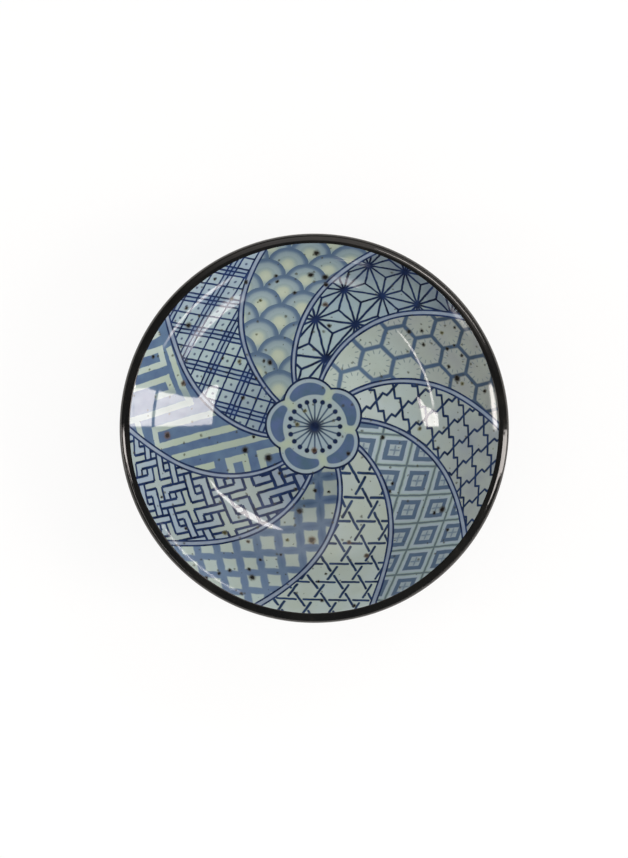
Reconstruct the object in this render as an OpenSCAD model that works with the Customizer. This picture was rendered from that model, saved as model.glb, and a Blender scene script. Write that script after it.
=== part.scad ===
// Small round sauce dish: a thrown clay bowl on a separate foot ring, with three coats of glaze.
// Millimetres, +Z up. The origin is on the table, at the centre of the foot ring.
// Every piece is turned from its own section, drawn in the XY plane as radius and height.

/* [Bowl] */
// Diameter over the glazed lip
dish_d = 95; // [86:1:104]
// Height from the table to the top of the glazed lip
dish_h = 26; // [24:0.5:28]
// Thickness of the clay wall, measured square to its face
wall_t = 2.4; // [2:0.1:3]
// Thickness of the clay floor
floor_t = 2.4; // [2:0.1:3]
// Slope of the straight upper wall from the horizontal
wall_angle = 45; // [40:1:50]
// Radius of the curve that joins the well's flat floor to the straight wall
well_arc_r = 35.5; // [32:0.5:39]

/* [Foot ring] */
// Diameter over the flat face that the dish stands on
foot_d = 43; // [38:1:48]
// Width of that flat face
foot_w = 1.8; // [1.4:0.1:2.6]
// Height of the clay underside above the table
foot_h = 3.6; // [3:0.1:4.5]
// Radius of the two worn edges beside the flat face
foot_edge_r = 0.6; // [0.4:0.1:0.8]
// Outward lean of the outer side
foot_lean_out = 9; // [4:1:14]
// Inward lean of the inner side
foot_lean_in = 14; // [6:1:20]
// Radius of the slip fillets that join the ring to the bowl
foot_fillet_r = 1.6; // [1.2:0.1:2.2]

/* [Glaze] */
// Thickness of each coat
glaze_t = 0.4; // [0.25:0.05:0.6]
// Width of the dark lip, seen from straight above
dark_lip_w = 2.5; // [2:0.1:2.7]
// Height of the bare clay that is wiped clean above the table
bare_h = 1.3; // [1:0.1:1.8]

/* [Hidden] */
$fn = 128;
// How far the cutting shapes run past what they cut
overrun = 2;

// Slopes of the wall and of the foot's sides
wall_sin = sin(wall_angle);
wall_cos = cos(wall_angle);

// The lip is a half round on the middle line of the clay wall
lip_r = dish_d / 2 - glaze_t - wall_t / 2;
lip_z = dish_h - glaze_t - wall_t / 2;
lip_line = lip_r * wall_sin - lip_z * wall_cos;

// A bowl face is [height of its flat, radius of its curve, distance of its wall line from the origin]
clay_inside = [foot_h + floor_t, well_arc_r + glaze_t, lip_line - wall_t / 2];
clay_outside = [foot_h, well_arc_r + glaze_t + wall_t, lip_line + wall_t / 2];
// The face that is sunk into the clay from outside by half the wall
clay_middle = moved_face(clay_outside, -wall_t / 2);

// Centre of the underside's curve
under_centre = [arc_x(clay_outside), clay_outside[0] + clay_outside[1]];

// Radii at the two edges of the flat face under the foot, and halfway between
foot_outer_r = foot_d / 2;
foot_inner_r = foot_outer_r - foot_w;
foot_middle_r = foot_outer_r - foot_w / 2;

// The same bowl face moved square to itself: down and outward, or back up where the distance is negative
function moved_face(face, distance) = [face[0] - distance, face[1] + distance, face[2] + distance];

// Radius at which a face's flat ends and its curve begins, which is the curve's centre too
function arc_x(face) = (face[2] - face[1] + (face[0] + face[1]) * wall_cos) / wall_sin;

// Radius of a face's wall line at a height
function wall_x(face, height) = (face[2] + height * wall_cos) / wall_sin;

// Point at a distance from a centre, at an angle from straight down towards the outside
function from_below(centre, distance, angle) = centre + distance * [sin(angle), -cos(angle)];

// Unit vector square to a foot side that leans by an angle: side 1 is the outer one, side -1 the inner one
function side_normal(side, lean) = [side * cos(lean), -sin(lean)];

// Centre of the round edge under a foot side
function edge_centre(side) = [side > 0 ? foot_outer_r : foot_inner_r, foot_edge_r];

// Angle, from straight down, at which the fillet beside a foot side touches the underside's curve
function fillet_angle(side, lean) =
    let(normal = side_normal(side, lean))
    let(gap = normal * (edge_centre(side) - under_centre) + foot_edge_r + foot_fillet_r)
    side * (asin(gap / (clay_outside[1] + foot_fillet_r)) - lean);

// Centre of that fillet
function fillet_centre(side, lean) =
    from_below(under_centre, clay_outside[1] + foot_fillet_r, fillet_angle(side, lean));

// Outline of one side of the foot, thickened, from under the round edge up into the clay of the bowl
function foot_side(side, lean, grow) = [
    edge_centre(side) - [0, foot_edge_r + grow],
    edge_centre(side) + (foot_edge_r + grow) * side_normal(side, lean),
    fillet_centre(side, lean) - (foot_fillet_r - grow) * side_normal(side, lean),
    fillet_centre(side, lean),
    from_below(under_centre, clay_outside[1] - wall_t / 4, fillet_angle(side, lean))
];

// A list of points in the other order
function turned_round(points) = [for (i = [len(points) - 1:-1:0]) points[i]];

// Everything above a bowl face
module above_face(face) {
    centre = [arc_x(face), face[0] + face[1]];
    corner = [wall_x(face, face[0]), face[0]];
    touch = from_below(centre, face[1], wall_angle);
    sky = dish_h + overrun;
    polygon([[0, face[0]], [centre[0], face[0]], touch, [wall_x(face, sky), sky], [0, sky]]);
    intersection() {
        translate(centre) circle(r = face[1]);
        polygon([centre, [centre[0], face[0]], corner, touch]);
    }
}

// Everything on the bowl's side of the line that squares off the wall at the lip
module below_lip() {
    reach = dish_d * [wall_sin, -wall_cos];
    drop = dish_d * [wall_cos, wall_sin];
    lip = [lip_r, lip_z];
    polygon([lip - reach, lip - reach - drop, lip + reach - drop, lip + reach]);
}

// Section of the bowl, thickened on both faces
module bowl_section(grow) {
    intersection() {
        difference() {
            above_face(moved_face(clay_outside, grow));
            above_face(moved_face(clay_inside, -grow));
        }
        below_lip();
    }
    translate([lip_r, lip_z]) circle(r = wall_t / 2 + grow);
}

// Section of the foot, thickened on both sides, with its top inside the bowl's clay
module foot_section(grow) {
    outer_side = foot_side(1, foot_lean_out, grow);
    inner_side = foot_side(-1, foot_lean_in, grow);
    difference() {
        union() {
            polygon(concat(outer_side, turned_round(inner_side)));
            translate(edge_centre(1)) circle(r = foot_edge_r + grow);
            translate(edge_centre(-1)) circle(r = foot_edge_r + grow);
        }
        translate(fillet_centre(1, foot_lean_out)) circle(r = foot_fillet_r - grow);
        translate(fillet_centre(-1, foot_lean_in)) circle(r = foot_fillet_r - grow);
    }
}

// Section of the whole dish, thickened on every face
module dish_section(grow) {
    bowl_section(grow);
    foot_section(grow);
}

// Section of the glaze on every face, down to the bare clay of the foot
module glaze_section() {
    intersection() {
        difference() {
            dish_section(glaze_t);
            dish_section(0);
        }
        translate([0, bare_h]) square([dish_d, dish_h]);
    }
}

// The part of the section that lies over the well, as far as the dark lip
module well_zone() {
    intersection() {
        above_face(clay_middle);
        square([dish_d / 2 - dark_lip_w, dish_h + overrun]);
    }
}

// The part of the section that lies under the floor, inside the foot
module base_zone() {
    difference() {
        square([foot_middle_r, dish_h]);
        above_face(clay_middle);
    }
}

// Bowl of pale stoneware: flat floor, curved flank, straight wall and half-round lip
module clay_body() {
    color("#cdbfa8")
    rotate_extrude()
    bowl_section(0);
}

// Foot ring, turned by itself and luted to the underside with fillets of slip
module foot_ring() {
    color("#b9a68a")
    rotate_extrude()
    difference() {
        foot_section(0);
        above_face(clay_outside);
    }
}

// Clear coat over the blue pattern of the well
module well_glaze() {
    color("#9fb0c0")
    rotate_extrude()
    intersection() {
        glaze_section();
        well_zone();
    }
}

// Dark iron coat from the inside of the lip, over it and down to the bare foot
module outside_glaze() {
    color("#2f2b2a")
    rotate_extrude()
    difference() {
        glaze_section();
        well_zone();
        base_zone();
    }
}

// Dark iron coat in the recess that the foot ring encloses
module base_glaze() {
    color("#3a3432")
    rotate_extrude()
    intersection() {
        glaze_section();
        base_zone();
    }
}

clay_body();
foot_ring();
well_glaze();
outside_glaze();
base_glaze();
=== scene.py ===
# Small round sauce dish, blue print on pale stoneware under clear glaze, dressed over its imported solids.
# The well's print is laid out flat in millimetres (distance along the glaze from the middle, and direction),
# then wrapped onto the turned surface. Metres in Blender, +Z up, origin on the table under the middle.
import functools
import math
import bmesh
import bpy
import numpy as np
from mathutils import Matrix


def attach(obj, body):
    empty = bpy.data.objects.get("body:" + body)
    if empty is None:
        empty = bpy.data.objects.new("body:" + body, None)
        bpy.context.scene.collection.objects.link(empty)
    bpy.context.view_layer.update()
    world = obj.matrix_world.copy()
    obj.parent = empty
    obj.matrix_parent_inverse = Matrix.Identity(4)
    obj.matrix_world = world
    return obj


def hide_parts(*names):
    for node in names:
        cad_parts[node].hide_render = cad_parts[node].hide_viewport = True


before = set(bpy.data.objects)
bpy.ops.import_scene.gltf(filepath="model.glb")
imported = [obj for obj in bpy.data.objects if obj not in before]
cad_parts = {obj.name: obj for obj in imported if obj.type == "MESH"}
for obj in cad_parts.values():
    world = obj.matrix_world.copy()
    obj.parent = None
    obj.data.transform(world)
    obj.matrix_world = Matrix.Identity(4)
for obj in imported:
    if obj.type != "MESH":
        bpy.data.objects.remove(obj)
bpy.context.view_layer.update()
print("frame loaded:", sorted(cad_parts))

millimetre = 0.001


def linearColour(hexCode):
    channels = [int(hexCode[k:k + 2], 16) / 255 for k in (1, 3, 5)]
    return tuple(c / 12.92 if c <= 0.04045 else ((c + 0.055) / 1.055) ** 2.4 for c in channels) + (1.0,)


# What a second word in a node's kind sets
nodeChoices = dict(Math="operation", VectorMath="operation", Mix="data_type", MapRange="interpolation_type")


def addNode(tree, kind, *feeds, inputs=None, **settings):
    # feeds go to the node's live sockets in order: a number, a vector, a hex colour, another node or a socket
    kind, *choice = kind.split()
    node = tree.nodes.new("ShaderNode" + kind)
    if choice:
        settings[nodeChoices[kind]] = choice[0]
    for key, value in settings.items():
        setattr(node, key, value)
    live = [socket for socket in node.inputs if socket.enabled]
    pairs = list(zip(live, feeds)) + [(node.inputs[name], feed) for name, feed in (inputs or {}).items()]
    for socket, feed in pairs:
        if isinstance(feed, bpy.types.Node):
            feed = next(out for out in feed.outputs if out.enabled)
        if isinstance(feed, bpy.types.NodeSocket):
            tree.links.new(feed, socket)
        elif feed is not None:
            socket.default_value = linearColour(feed) if isinstance(feed, str) else feed
    return node


def fillRamp(ramp, stops, interpolation="LINEAR"):
    # a stop is a place and a colour, which is a hex code or four numbers
    stops = [(place, linearColour(colour) if isinstance(colour, str) else colour) for place, colour in stops]
    elements = ramp.color_ramp.elements
    ramp.color_ramp.interpolation = interpolation
    while len(elements) > 1:
        elements.remove(elements[-1])
    elements[0].position, elements[0].color = stops[0]
    for place, colour in stops[1:]:
        elements.new(place).color = colour
    return ramp


def newMaterial(name):
    # the empty material, and addNode for its tree
    material = bpy.data.materials.new(name)
    material.use_nodes = True
    material.node_tree.nodes.clear()
    return material, functools.partial(addNode, material.node_tree)


def newMesh(name, points, faces, materials):
    mesh = bpy.data.meshes.new(name)
    mesh.from_pydata(points, [], faces)
    for material in materials:
        mesh.materials.append(material)
    return mesh


def cornerVertices(mesh):
    # the vertex at each corner of each face
    vertices = np.zeros(len(mesh.loops), int)
    mesh.loops.foreach_get("vertex_index", vertices)
    return vertices


def putMap(mesh, name, places):
    mesh.uv_layers.new(name=name).data.foreach_set("uv", places.astype(np.float32).ravel())


def placed(name, data):
    piece = bpy.data.objects.new(name, data)
    bpy.context.scene.collection.objects.link(piece)
    return piece


# The section of the glazed faces, in millimetres, as the solids have them; the dark lip is turned a hair inside
section = dict(floorRadius=10.9327, curveRadius=35.5, curveCentre=41.9, underRadius=38.7, claySkin=0.4,
               lipRadius=45.9, lipHeight=24.4, lipCurve=1.6, lipRound=1.59, darkEdge=45.0, bareHeight=1.3,
               footOuter=21.5, footInner=19.7, footEdge=0.6, leanOut=9.0, leanIn=14.0, fillet=1.2)

wallTurn = math.pi / 4                            # the well's straight wall leans by 45 degrees
curveEnd = section["floorRadius"] + section["curveRadius"] * wallTurn
wallFoot = section["floorRadius"] + section["curveRadius"] * math.sin(wallTurn)
wallLength = (section["lipRadius"] - section["lipCurve"] * math.sqrt(0.5) - wallFoot) * math.sqrt(2)
wallEnd = curveEnd + wallLength
clayUnder = section["underRadius"] - section["claySkin"]
clayFillet = section["fillet"] + section["claySkin"]


def onWell(distance):
    # radius, height and slope of the glazed well, at a distance along it from the middle
    bend = np.clip((distance - section["floorRadius"]) / section["curveRadius"], 0, wallTurn)
    radius = np.minimum(distance, section["floorRadius"]) + section["curveRadius"] * np.sin(bend)
    height = section["curveCentre"] - section["curveRadius"] * np.cos(bend)
    up = np.clip(distance - curveEnd, 0, wallLength) * math.sqrt(0.5)
    turn = 3 * wallTurn - np.clip(distance - wallEnd, 0, None) / section["lipCurve"]
    onLip = distance > wallEnd
    radius = np.where(onLip, section["lipRadius"] + section["lipCurve"] * np.cos(turn), radius + up)
    height = np.where(onLip, section["lipHeight"] + section["lipCurve"] * np.sin(turn), height + up)
    return radius, height, np.where(onLip, turn - math.pi / 2, bend)


# Faint throwing rings on the wall, in degrees of slope at distances along the glaze; they break up the reflections
throwingRings = dict(
    at=(34, 36.5, 38.5, 40.4, 42.2, 42.9, 43.3, 43.6, 43.9, 44.3, 45.2, 46.0, 47.0, 48.0, 48.8, 49.8, 50.6, 51.2, 51.5),
    tilt=(0, -1.2, -2.6, -2.6, -2.1, -1.7, -1.0, -0.2, -0.8, -1.4, -1.5, -1.4, -3.0, -1.2, -0.6, 0.1, 0.5, 0.6, 0))


def slowWave(angle, size, seed, turns):
    # a wavering hand-made edge: a few sines round the dish
    phases = np.random.default_rng(seed).uniform(0, 2 * math.pi, len(turns))
    return size * sum(np.sin(t * angle + p) / (k + 1) for k, (t, p) in enumerate(zip(turns, phases)))


def edgeShift(angle):
    # the border between the print and the dark coat wavers a little, as a dipped edge does
    return slowWave(angle, 0.07, 5, (2, 3, 7, 11, 19))


# Ten ribbons swirl from the plum flower to the lip, clockwise from above: degrees at each mark along the glaze
swirl = dict(
    marks=(50.0, 30.0, 12.5),
    angles=((107.8, 127.6, 143.0), (73.0, 93.0, 112.8), (38.7, 61.3, 81.5), (2.0, 22.6, 43.2),
            (-34.0, -12.2, 8.6), (-70.3, -49.8, -24.5), (-106.2, -85.2, -61.3), (-140.4, -119.8, -96.2),
            (-178.3, -157.8, -133.9), (-216.0, -196.4, -172.6)),
    widthInside=1.5, widthOutside=1.95, columnsPerPanel=20, rings=86)

# A plum flower of five round petals in the middle, its blue crescents and its stamens
plum = dict(middle=(0.2, 0.38), lobeAngles=(103, 31, -41, -113, 175), lobeReach=5.67, lobeRadius=6.53,
            outline=0.5, rings=14, heart=(-0.07, 0.06), firstPetal=31, crescentReach=7.9, crescentInset=1.12,
            crescentAside=0.95, stamens=20, stamenReach=6.25)

# Columns of faces from one ribbon to the next: two across the ribbon and the panel's own
perPanel = swirl["columnsPerPanel"] + 2
ribbonCurves = [np.polyfit(swirl["marks"], np.radians(row), 2) for row in swirl["angles"]]
ribbonCurves.append(ribbonCurves[0] - np.array([0, 0, 2 * math.pi]))


def ribbonWidth(distance):
    outermost, _, innermost = swirl["marks"]
    share = (distance - innermost) / (outermost - innermost)
    return swirl["widthInside"] + share * (swirl["widthOutside"] - swirl["widthInside"])


def ribbonAngle(number, distance, share):
    # share is 0 on the ribbon's middle line, 1 at its clockwise edge and -1 at the other
    curve = ribbonCurves[number]
    lean = distance * np.polyval(np.polyder(curve), distance)
    half = ribbonWidth(distance) / 2 + slowWave(distance / 4 + number, 0.03, number, (2, 5))
    return np.polyval(curve, distance) - share * half * np.sqrt(1 + lean ** 2) / distance


def columnAngle(column, distance):
    number, across = divmod(column, perPanel)
    if across < 3:
        return ribbonAngle(number, distance, across - 1)
    share = (across - 2) / swirl["columnsPerPanel"]
    return (1 - share) * ribbonAngle(number, distance, 1) + share * ribbonAngle(number + 1, distance, -1)


def plumReach(angle):
    # distance from the flower's middle to its outline in a direction
    reach = np.zeros_like(angle)
    for lobe in plum["lobeAngles"]:
        turn = angle - math.radians(lobe)
        inside = plum["lobeRadius"] ** 2 - (plum["lobeReach"] * np.sin(turn)) ** 2
        out = plum["lobeReach"] * np.cos(turn) + np.sqrt(np.clip(inside, 0, None))
        reach = np.maximum(reach, np.where(inside > 0, out, 0))
    return reach + plum["outline"] / 2


# A pattern's two steps, and how they change from one repeat to the next
gridKeys = ("stepA", "stepB", "driftAA", "driftAB", "driftBB")


def latticeOf(panel, points):
    # how many steps along each of the pattern's two directions a flat point is from its origin
    steps = np.zeros_like(points)
    a, b, aa, ab, bb = (np.array(panel[key]) for key in gridKeys)
    origin = np.array(panel["origin"])
    for turn in range(12):
        i, j = steps[:, :1], steps[:, 1:]
        away = points - (origin + i * a + j * b + i * i * aa + i * j * ab + j * j * bb)
        alongA, alongB = a + 2 * i * aa + j * ab, b + i * ab + 2 * j * bb
        area = alongA[:, 0] * alongB[:, 1] - alongA[:, 1] * alongB[:, 0]
        steps = steps + np.stack([(away[:, 0] * alongB[:, 1] - away[:, 1] * alongB[:, 0]) / area,
                                  (alongA[:, 0] * away[:, 1] - alongA[:, 1] * away[:, 0]) / area], 1)
    return steps


def meanSteps(panel):
    # the two steps at the panel's middle, in flat millimetres, as three-number vectors
    i, j = panel["middle"]
    a, b, aa, ab, bb = (np.array(panel[key] + (0.0,)) for key in gridKeys)
    return a + 2 * i * aa + j * ab, b + i * ab + 2 * j * bb


# Steps that the panels share. add is addNode for the panel's own material, and lengths are in flat millimetres.
printStray = 0.32        # strength of the noise that bends the lines
printReach = 52.0        # where the tones that change towards the lip end


def wavered(add, flat, lattice, panel):
    # printed by hand from a paper transfer: every line strays by less than a tenth of a millimetre
    stray = add("TexNoise", flat, inputs={"Scale": 0.55, "Detail": 1.0})
    stray = add("VectorMath SUBTRACT", stray.outputs["Color"], (0.5, 0.5, 0.5))
    pitch = sum(np.linalg.norm(step) for step in meanSteps(panel)) / 2
    return add("VectorMath ADD", lattice, add("VectorMath SCALE", stray, printStray / pitch))


def inMillimetres(add, steps, a, b):
    x, y = add("SeparateXYZ", steps).outputs[:2]
    return add("VectorMath ADD", add("VectorMath SCALE", tuple(a), x), add("VectorMath SCALE", tuple(b), y))


def foldedSteps(add, lattice, home=0.5):
    # the share of a step to the repeat's own origin, which sits at that place of the cell
    moved = add("VectorMath FRACTION", add("VectorMath ADD", lattice, (home, home, 0)))
    return add("VectorMath SUBTRACT", moved, (home, home, 0))


def leastOf(add, distances):
    return functools.reduce(lambda nearest, away: add("Math MINIMUM", nearest, away), distances)


def strokeHeading(startX, startY, endX, endY):
    length = math.hypot(endX - startX, endY - startY)
    return length, ((endX - startX) / length, (endY - startY) / length, 0)


def strokeDistance(add, point, strokes):
    # millimetres to the middle line of the nearest of some straight strokes
    distances = []
    for stroke in strokes:
        length, heading = strokeHeading(*stroke)
        reach = add("VectorMath SUBTRACT", point, (*stroke[:2], 0))
        along = add("Clamp", add("VectorMath DOT_PRODUCT", reach, heading), 0.0, length)
        distances.append(add("VectorMath DISTANCE", reach, add("VectorMath SCALE", heading, along)))
    return leastOf(add, distances)


def squareStrokeDistance(add, point, strokes):
    # the same for strokes with square ends and corners
    distances = []
    for startX, startY, endX, endY in strokes:
        length, heading = strokeHeading(startX, startY, endX, endY)
        reach = add("VectorMath SUBTRACT", point, ((startX + endX) / 2, (startY + endY) / 2, 0))
        along = add("Math ABSOLUTE", add("VectorMath DOT_PRODUCT", reach, heading))
        aside = add("Math ABSOLUTE", add("VectorMath DOT_PRODUCT", reach, (-heading[1], heading[0], 0)))
        distances.append(add("Math MAXIMUM", add("Math SUBTRACT", along, length / 2), aside))
    return leastOf(add, distances)


def asideOfSpoke(add, point, reach, count):
    # millimetres sideways to the nearest of some spokes round the origin, less than zero on one side
    x, y = add("SeparateXYZ", point).outputs[:2]
    turn = add("Math MULTIPLY", add("Math ARCTAN2", y, x), count / (2 * math.pi))
    turn = add("Math WRAP", turn, 0.5, -0.5)
    return add("Math MULTIPLY", add("Math MULTIPLY", turn, reach), 2 * math.pi / count)


def lineCover(add, distances, width, inside=0.08, outside=0.1):
    # 1 on the lines, from the distances to their middles; the ink feathers inside and outside their edges
    return add("MapRange", leastOf(add, distances), width / 2 - inside, width / 2 + outside, 1.0, 0.0)


def inked(add, flat, under, cover, light, dark):
    # cobalt ink: denser where it pooled, thinner where the transfer was dry
    pool = add("TexNoise", flat, inputs={"Scale": 0.35, "Detail": 3.0})
    return add("Mix RGBA", cover, under, fillRamp(add("ValToRGB", pool), ((0.32, dark), (0.68, light))))


def clouds(add, flat, most, scale=0.12):
    # soft clouds in the glaze, some 8 mm wide at a scale of 0.12
    cloud = add("TexNoise", flat, inputs={"Scale": scale, "Detail": 3.0})
    return add("MapRange", cloud, 0.35, 0.65, 0.0, most)


def mottled(add, flat, tone, otherTone, scale=0.12):
    # two close tones in clouds
    return add("Mix RGBA", clouds(add, flat, 1.0, scale), tone, otherTone)


def paintedLightOutward(add, flat, tones):
    # a tone that changes from the middle to the lip: painted light and shade on the well
    share = add("Math DIVIDE", add("VectorMath LENGTH", flat), printReach)
    return fillRamp(add("ValToRGB", share), [(at / printReach, tone) for at, tone in tones])


def groundWithPaintedLight(add, flat, tones, cloudTone, cloudShare=0.4):
    # pale stoneware under celadon-tinged glaze in soft clouds, over tones from the middle to the lip that are painted
    # light and shade
    return add("Mix RGBA", clouds(add, flat, cloudShare), paintedLightOutward(add, flat, tones), cloudTone)


def paintedShadeOutward(add, flat, colour, tones):
    # a whole print darkened at some distances from the middle: painted shade
    return add("Mix RGBA", 1.0, colour, paintedLightOutward(add, flat, tones), blend_type="MULTIPLY")


def ironSpots(add, flat, colour, seen):
    # iron specks that melted up through the glaze: a black core in a brown or olive halo
    ragged = add("TexNoise", flat, inputs={"Scale": 1.6, "Detail": 2.0})
    ragged = add("VectorMath SUBTRACT", ragged.outputs["Color"], (0.5, 0.5, 0.5))
    place = add("VectorMath ADD", flat, add("VectorMath SCALE", ragged, 0.7))
    # the small ones are strewn over cells 2.4 mm wide: about one cell in four has one, and its size is random
    grain = add("TexVoronoi", place, inputs={"Scale": 0.42}, voronoi_dimensions="2D")
    size = add("MapRange", add("SeparateColor", grain.outputs["Color"]), 0.72, 1.0, 0.02, 0.16)
    small = add("Math DIVIDE", grain.outputs["Distance"], size)
    colour = add("Mix RGBA", add("MapRange", small, 0.5, 1.5, 0.75, 0.0), colour, "#3b3a2c")
    for kind, halo, depth in (("olive", "#66633a", 0.7), ("rust", "#5f4c3a", 0.7), ("black", "#3c3a31", 0.96)):
        if kind not in seen:
            continue
        nearest = leastOf(add, [add("Math DIVIDE", add("VectorMath DISTANCE", place, (x, y, 0)), radius)
                                for x, y, radius in seen[kind]])
        colour = add("Mix RGBA", add("MapRange SMOOTHSTEP", nearest, 0.7, 1.7, 0.8, 0.0), colour, halo)
        colour = add("Mix RGBA", add("MapRange SMOOTHSTEP", nearest, 0.45, 1.0, depth, 0.0), colour, "#15120f")
    return colour


def clearGlaze(add, flat, colour):
    # glossy feldspar glaze: a mirror with the slightest orange peel, over the printed colour
    peel = add("TexNoise", flat, inputs={"Scale": 0.16, "Detail": 2.0})
    bump = add("Bump", inputs={"Height": peel, "Strength": 0.25, "Distance": 0.00006})
    surface = add("BsdfPrincipled", inputs={"Base Color": colour, "Roughness": 0.05, "IOR": 1.54, "Normal": bump})
    add("OutputMaterial", surface)


# Overlapping wave scales, each lying over the two behind it
waves = dict(
    origin=(-7.276, 44.6), stepA=(4.916, -5.745), stepB=(-6.029, -3.43),
    driftAA=(0.023, 0.265), driftAB=(0.066, -0.116), driftBB=(0.089, -0.067), middle=(1.5, 2.0),
    scaleRadius=5.5)


def drawWaves(add, flat, lattice):
    a, b = meanSteps(waves)
    corner = inMillimetres(add, foldedSteps(add, lattice, 0.0), a, b)
    reach, left, right, front = (add("VectorMath DISTANCE", corner, tuple(i * a + j * b))
                                 for i, j in ((0, 0), (1, 0), (0, 1), (1, 1)))
    for scale in (add("Math MINIMUM", left, right), front):
        reach = add("Mix FLOAT", add("Math LESS_THAN", scale, waves["scaleRadius"]), reach, scale)
    share = add("Math DIVIDE", reach, waves["scaleRadius"])
    tones = fillRamp(add("ValToRGB", share), (
        (0.0, "#b1b9a6"), (0.24, "#a7b1a1"), (0.36, "#94a39e"),
        (0.46, "#87989a"), (0.56, "#8c9da1"), (0.72, "#81939b"),
        (0.78, "#6e8190"), (0.86, "#566a82"), (1.0, "#51657c")))
    # darker near the middle and towards the lip: painted shade
    return paintedShadeOutward(add, flat, tones, ((18, "#f0f2f2"), (30, "#ffffff"), (38, "#ffffff"), (48, "#e2e4e5")))


# Hemp leaves: stars of twelve rays on a grid of triangles
hemp = dict(
    origin=(0.358, 27.396), stepA=(10.078, -0.953), stepB=(7.529, 8.914),
    driftAA=(-0.026, -0.178), driftAB=(0.028, -0.032), driftBB=(-0.094, -0.158), middle=(1.0, 1.0), line=0.58)


def drawHemp(add, flat, lattice):
    a, b = meanSteps(hemp)
    corners = (np.zeros(3), a, b)
    area = abs(a[0] * b[1] - a[1] * b[0])
    part = foldedSteps(add, lattice, 0.0)
    x, y = add("SeparateXYZ", part).outputs[:2]
    # a cell is two triangles, and the far one is the near one turned half round
    far = add("Math GREATER_THAN", add("Math ADD", x, y), 1.0)
    near = add("Mix VECTOR", far, part, add("VectorMath SUBTRACT", (1, 1, 0), part))
    point = inMillimetres(add, near, a, b)
    x, y = add("SeparateXYZ", near).outputs[:2]
    rest = add("Math SUBTRACT", 1.0, add("Math ADD", x, y))
    middle = (a + b) / 3
    distances = [strokeDistance(add, point, [(*corner[:2], *middle[:2]) for corner in corners])]
    for share, side in ((x, b), (y, a), (rest, b - a)):
        distances.append(add("Math MULTIPLY", share, float(area / np.linalg.norm(side))))
    cover = lineCover(add, distances, hemp["line"])
    star = leastOf(add, [add("VectorMath DISTANCE", point, tuple(corner)) for corner in corners])
    cover = add("Math MAXIMUM", cover, add("MapRange SMOOTHSTEP", star, 0.7, 1.9, 0.9, 0.0))
    # the ground darkens towards the lip, and the whole print is darkened there too: painted shade
    pale = groundWithPaintedLight(add, flat, ((16, "#96a9ae"), (30, "#91a5ae"), (39, "#899ba6"), (48, "#6c7886")), "#98a8a2", 0.5)
    colour = inked(add, flat, pale, cover, light="#1f3055", dark="#09142c")
    return paintedShadeOutward(add, flat, colour, ((30, "#ffffff"), (44, "#f2f2f3"), (50, "#e0e0e3")))


# Tortoiseshell: hexagons in soft blue lines, with a ring of fine ticks in each
shell = dict(
    origin=(7.734, 18.168), stepA=(7.756, -1.936), stepB=(5.626, 5.723),
    driftAA=(0.061, 0.004), driftAB=(0.011, -0.098), driftBB=(0.305, 0.122), middle=(2.0, 0.5),
    pitch=8.0, line=1.1, ticks=12, tickFrom=2.45, tickTo=3.35, tickWidth=0.26)


def drawShell(add, flat, lattice):
    # true hexagons in the lattice, which lean with it on the dish
    a = np.array([shell["pitch"], 0, 0])
    b = np.array([shell["pitch"] / 2, shell["pitch"] * math.sqrt(0.75), 0])
    x, y = add("SeparateXYZ", lattice).outputs[:2]
    square = add("CombineXYZ", add("Math SUBTRACT", y, x), add("Math ADD", x, y))
    square = add("VectorMath SCALE", square, 0.5)
    even = inMillimetres(add, foldedSteps(add, square), b - a, a + b)
    odd = add("VectorMath SUBTRACT", add("VectorMath FRACTION", square), (0.5, 0.5, 0))
    odd = inMillimetres(add, odd, b - a, a + b)
    closer = add("Math GREATER_THAN", add("VectorMath LENGTH", even), add("VectorMath LENGTH", odd))
    point = add("Mix VECTOR", closer, even, odd)
    distances = []
    for side in (a, b, b - a):
        length = float(np.linalg.norm(side))
        along = add("Math ABSOLUTE", add("VectorMath DOT_PRODUCT", point, tuple(side / length)))
        distances.append(add("Math SUBTRACT", length / 2, along))
    half = shell["line"] / 2
    cover = add("MapRange SMOOTHSTEP", leastOf(add, distances), half - 0.25, half + 0.25, 1.0, 0.0)
    # both tones darken towards the lip: painted shade
    pale = groundWithPaintedLight(add, flat, ((14, "#adbab4"), (24, "#a5b2ad"), (34, "#959d9b"), (48, "#838786")), "#98a194", 0.5)
    soft = groundWithPaintedLight(add, flat, ((16, "#566c84"), (30, "#455a72"), (48, "#35424d")), "#485a76")
    colour = add("Mix RGBA", cover, pale, soft)
    reach = add("VectorMath LENGTH", point)
    aside = add("Math ABSOLUTE", asideOfSpoke(add, point, reach, shell["ticks"]))
    tick = add("MapRange", aside, shell["tickWidth"] / 2 - 0.05, shell["tickWidth"] / 2 + 0.07, 0.6, 0.0)
    middle, half = (shell["tickFrom"] + shell["tickTo"]) / 2, (shell["tickTo"] - shell["tickFrom"]) / 2
    span = add("Math ABSOLUTE", add("Math SUBTRACT", reach, middle))
    span = add("MapRange", span, half - 0.15, half + 0.15, 1.0, 0.0)
    return add("Mix RGBA", add("Math MULTIPLY", tick, span), colour, "#4f6270")


# Pine bark: leaning cells whose sides step like torn bark
bark = dict(
    origin=(12.193, 7.719), stepA=(4.035, 3.353), stepB=(2.342, -5.147),
    driftAA=(0.158, -0.038), driftAB=(-0.098, -0.019), driftBB=(-0.044, -0.026), middle=(3.0, 3.0),
    line=0.62, jogA=(0.95, -0.62), jogB=(1.3, 0.0))


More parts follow.
